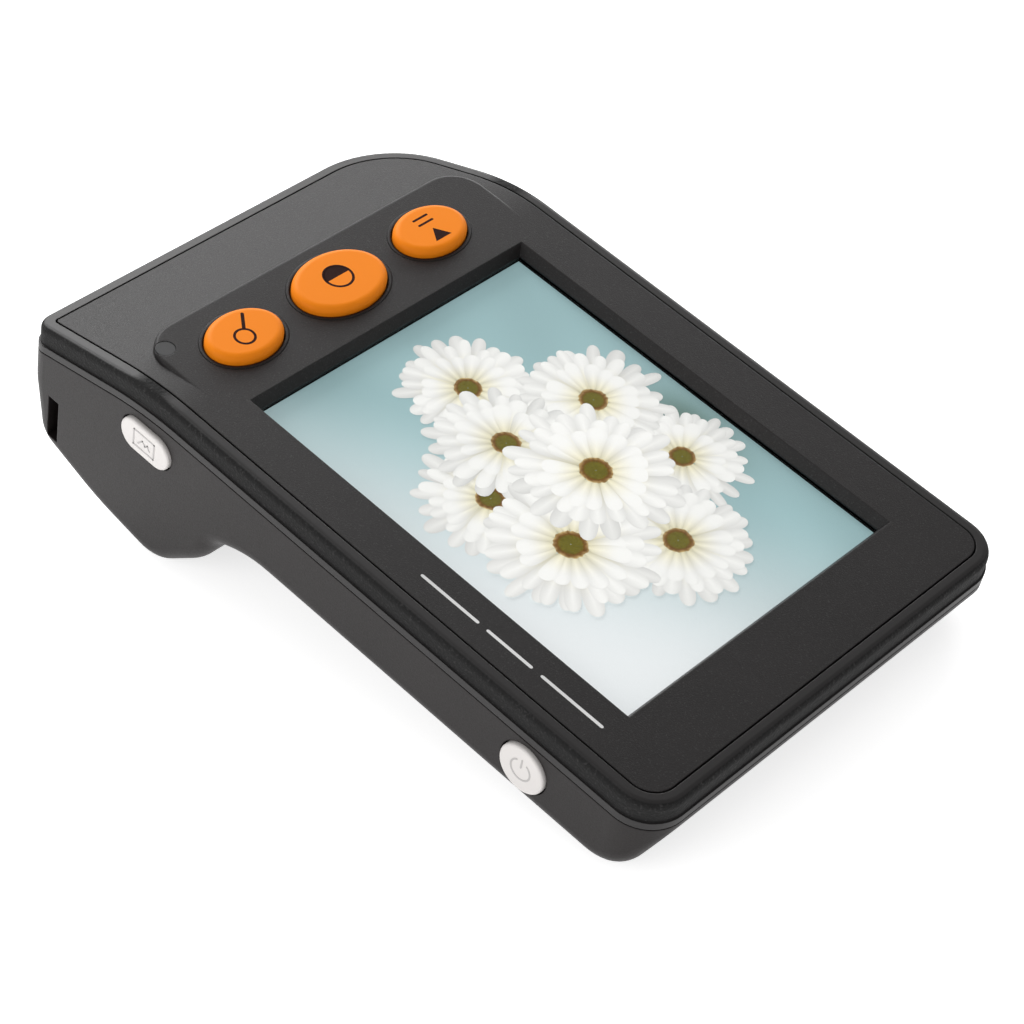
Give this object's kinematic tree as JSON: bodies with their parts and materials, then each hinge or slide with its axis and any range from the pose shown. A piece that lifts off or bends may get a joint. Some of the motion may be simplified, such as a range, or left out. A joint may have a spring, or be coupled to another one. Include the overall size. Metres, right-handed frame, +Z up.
{
  "type": "low vision magnifier",
  "caption": "Handheld electronic low vision magnifier: wide screen, oval push buttons and side keys on a thin body with a deep grip that props it on the page.",
  "frame": {"origin": "on the table plane, under the centre of the whole magnifier as it rests on its four feet", "axes": "+Z up from the table; +X from the deep grip to the thin far end; the side keys face -Y; the screen face leans 10.9 degrees down towards +X"},
  "size_m": [0.1256, 0.0788, 0.0364],
  "materials": {
    "case_black": "fine grain",
    "band_black": "coarse spark grain",
    "shell_black": "fine grain",
    "button_orange": "satin",
    "key_grey": "satin",
    "plunger_black": "moulded",
    "clear_window": "polished",
    "port_window": "polished",
    "foam": "closed-cell foam",
    "screen": "anti-glare film",
    "diffuser_white": "satin",
    "steel_plate": "plated",
    "board_green": "solder mask",
    "board_white": "solder mask",
    "chip_black": "moulded",
    "connector_ivory": "moulded",
    "ribbon_amber": "film",
    "steel_screw": "plated",
    "lens_smoke": "smoked",
    "lamp_white": "phosphor dome",
    "sensor_dark": "polished",
    "barrel_black": "anodised black",
    "optic_glass": "coated",
    "cell_wrap": "shrink wrap",
    "socket_steel": "plated",
    "foot_rubber": "matte"
  },
  "bodies": {
    "case": {"front_cover": "case_black", "ring_frame": "band_black", "rear_housing": "shell_black", "display_window": "clear_window", "camera_window": "port_window", "window_gasket": "foam", "display_pads": "foam", "battery_pad": "foam", "lcd_panel": "screen", "backlight": "diffuser_white", "lcd_tray": "steel_plate", "main_board": "board_green", "board_chips": "chip_black", "display_connector": "connector_ivory", "display_ribbon": "ribbon_amber", "board_screws": "steel_screw", "case_screws": "steel_screw", "button_switches": "chip_black", "side_switches": "chip_black", "status_lens": "lens_smoke", "status_lamp": "lamp_white", "sensor_board": "board_green", "image_sensor": "sensor_dark", "lens_holder": "chip_black", "lens_barrel": "barrel_black", "front_lens": "optic_glass", "rear_lens": "optic_glass", "lens_shroud": "barrel_black", "lamp_board": "board_white", "lamps": "lamp_white", "battery_cell": "cell_wrap", "negative_contact": "steel_plate", "positive_contact": "steel_plate", "charge_socket": "socket_steel", "socket_tongue": "chip_black", "grip_feet": "foot_rubber", "end_feet": "foot_rubber"},
    "zoom_button": {"zoom_button": "button_orange", "zoom_plunger": "plunger_black"},
    "contrast_button": {"contrast_button": "button_orange", "contrast_plunger": "plunger_black"},
    "freeze_button": {"freeze_button": "button_orange", "freeze_plunger": "plunger_black"},
    "mode_key": {"mode_key": "key_grey", "mode_plunger": "plunger_black"},
    "power_key": {"power_key": "key_grey", "power_plunger": "plunger_black"}
  },
  "joints": [
    {"name": "zoom_press", "type": "slide", "parent": "case", "child": "zoom_button", "axis": [-0.1887, 0, -0.982], "range_m": [0, 0.0005], "stiffness_N_per_m": 400},
    {"name": "contrast_press", "type": "slide", "parent": "case", "child": "contrast_button", "axis": [-0.1887, 0, -0.982], "range_m": [0, 0.0005], "stiffness_N_per_m": 400},
    {"name": "freeze_press", "type": "slide", "parent": "case", "child": "freeze_button", "axis": [-0.1887, 0, -0.982], "range_m": [0, 0.0005], "stiffness_N_per_m": 400},
    {"name": "mode_key_press", "type": "slide", "parent": "case", "child": "mode_key", "axis": [0, 1, 0], "range_m": [0, 0.0005], "stiffness_N_per_m": 400},
    {"name": "power_key_press", "type": "slide", "parent": "case", "child": "power_key", "axis": [0, 1, 0], "range_m": [0, 0.0005], "stiffness_N_per_m": 400}
  ]
}
